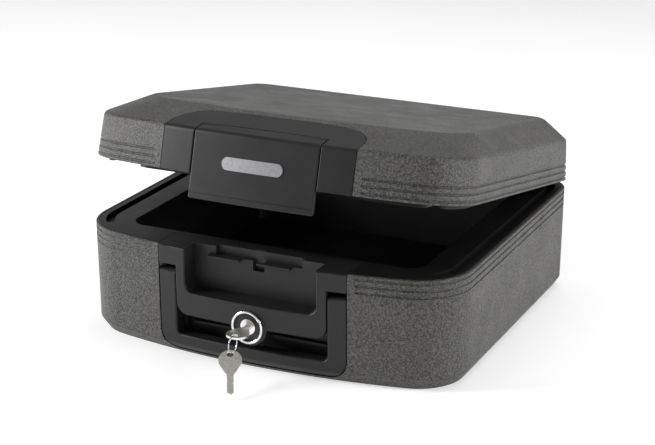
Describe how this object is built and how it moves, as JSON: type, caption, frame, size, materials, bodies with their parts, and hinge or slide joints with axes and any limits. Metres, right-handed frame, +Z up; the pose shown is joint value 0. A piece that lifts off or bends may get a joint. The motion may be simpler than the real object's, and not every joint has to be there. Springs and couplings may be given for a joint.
{
  "type": "fireproof document box",
  "caption": "Moulded fire-resistant document chest: hinged lid standing part open, latch flap, flush U-shaped carrying handle, key lock and insulated inner tub.",
  "frame": {"origin": "under the centre of the base, on the surface the box stands on", "axes": "+Z up, -Y towards the front with the lock and latch, +X to the right seen from the front"},
  "size_m": [0.391, 0.44, 0.2247],
  "materials": {
    "shell_plastic": "pebble-grained satin",
    "trim_plastic": "smooth satin",
    "liner_plastic": "smooth matt black",
    "insulation": "cast porous fill",
    "gasket_rubber": "matt rubber",
    "lock_chrome": "polished",
    "lock_zinc": "dark die-cast zinc",
    "key_nickel": "nickel-plated brass",
    "pin_steel": "bright steel",
    "screw_steel": "zinc-plated",
    "hinge_steel": "black painted steel",
    "brass": "plain",
    "badge_metal": "brushed"
  },
  "bodies": {
    "base": {"base_outer_shell": "shell_plastic", "base_insulation": "insulation", "base_inner_liner": "liner_plastic", "front_bezel": "trim_plastic", "bezel_screws": "screw_steel", "lock_bezel_ring": "lock_chrome", "lock_body": "lock_zinc", "lock_nut": "screw_steel", "base_hinge_leaves": "hinge_steel", "base_hinge_screws": "screw_steel"},
    "lid": {"lid_outer_shell": "shell_plastic", "lid_insulation": "insulation", "lid_inner_liner": "liner_plastic", "lid_trim_panel": "trim_plastic", "lid_trim_screws": "screw_steel", "lid_gasket": "gasket_rubber", "flap_hinge_pin": "pin_steel", "lid_hinge_leaves": "hinge_steel", "lid_hinge_screws": "screw_steel", "hinge_pins": "pin_steel"},
    "flap": {"latch_flap": "trim_plastic", "badge_plate": "badge_metal", "latch_hook_plate": "pin_steel", "hook_plate_screws": "screw_steel"},
    "handle": {"carry_handle": "trim_plastic", "handle_pivot_pins": "pin_steel"},
    "plug": {"lock_plug": "lock_chrome", "lock_wafers": "brass", "lock_cam": "pin_steel", "cam_screw": "screw_steel", "inserted_key": "key_nickel"},
    "bolt": {"lock_bolt": "pin_steel"},
    "ring": {"key_ring": "key_nickel"},
    "spare": {"spare_key": "key_nickel"}
  },
  "joints": [
    {"name": "lid_hinge", "type": "hinge", "parent": "base", "child": "lid", "pos_m": [0, 0.1853, 0.0986], "axis": [-1, 0, 0], "range_deg": [-11.4, 83.6]},
    {"name": "flap_swing", "type": "hinge", "parent": "lid", "child": "flap", "pos_m": [0, -0.14024, 0.21841], "axis": [-1, 0, 0], "range_deg": [-4, 30]},
    {"name": "handle_swing", "type": "hinge", "parent": "base", "child": "handle", "pos_m": [0, -0.1666, 0.076], "axis": [-1, 0, 0], "range_deg": [0, 90], "deforming": ["key_ring", "spare_key"]},
    {"name": "key_turn", "type": "hinge", "parent": "base", "child": "plug", "pos_m": [0, -0.1783, 0.0423], "axis": [0, -1, 0], "range_deg": [0, 90]},
    {"name": "bolt_slide", "type": "slide", "parent": "base", "child": "bolt", "axis": [0, 0, 1], "range_m": [0, 0.0129]},
    {"name": "key_ring_swing", "type": "hinge", "parent": "plug", "child": "ring", "pos_m": [0, -0.20775, 0.04425], "axis": [1, 0, 0], "range_deg": [-12, 12]},
    {"name": "spare_key_swing", "type": "hinge", "parent": "ring", "child": "spare", "pos_m": [0, -0.21289, 0.03012], "axis": [0.8829, 0.4695, 0], "range_deg": [-25, 25]}
  ],
  "couplings": [
    {"joint": "bolt_slide", "follows": "key_turn", "m_per_rad": 0.0081028}
  ]
}
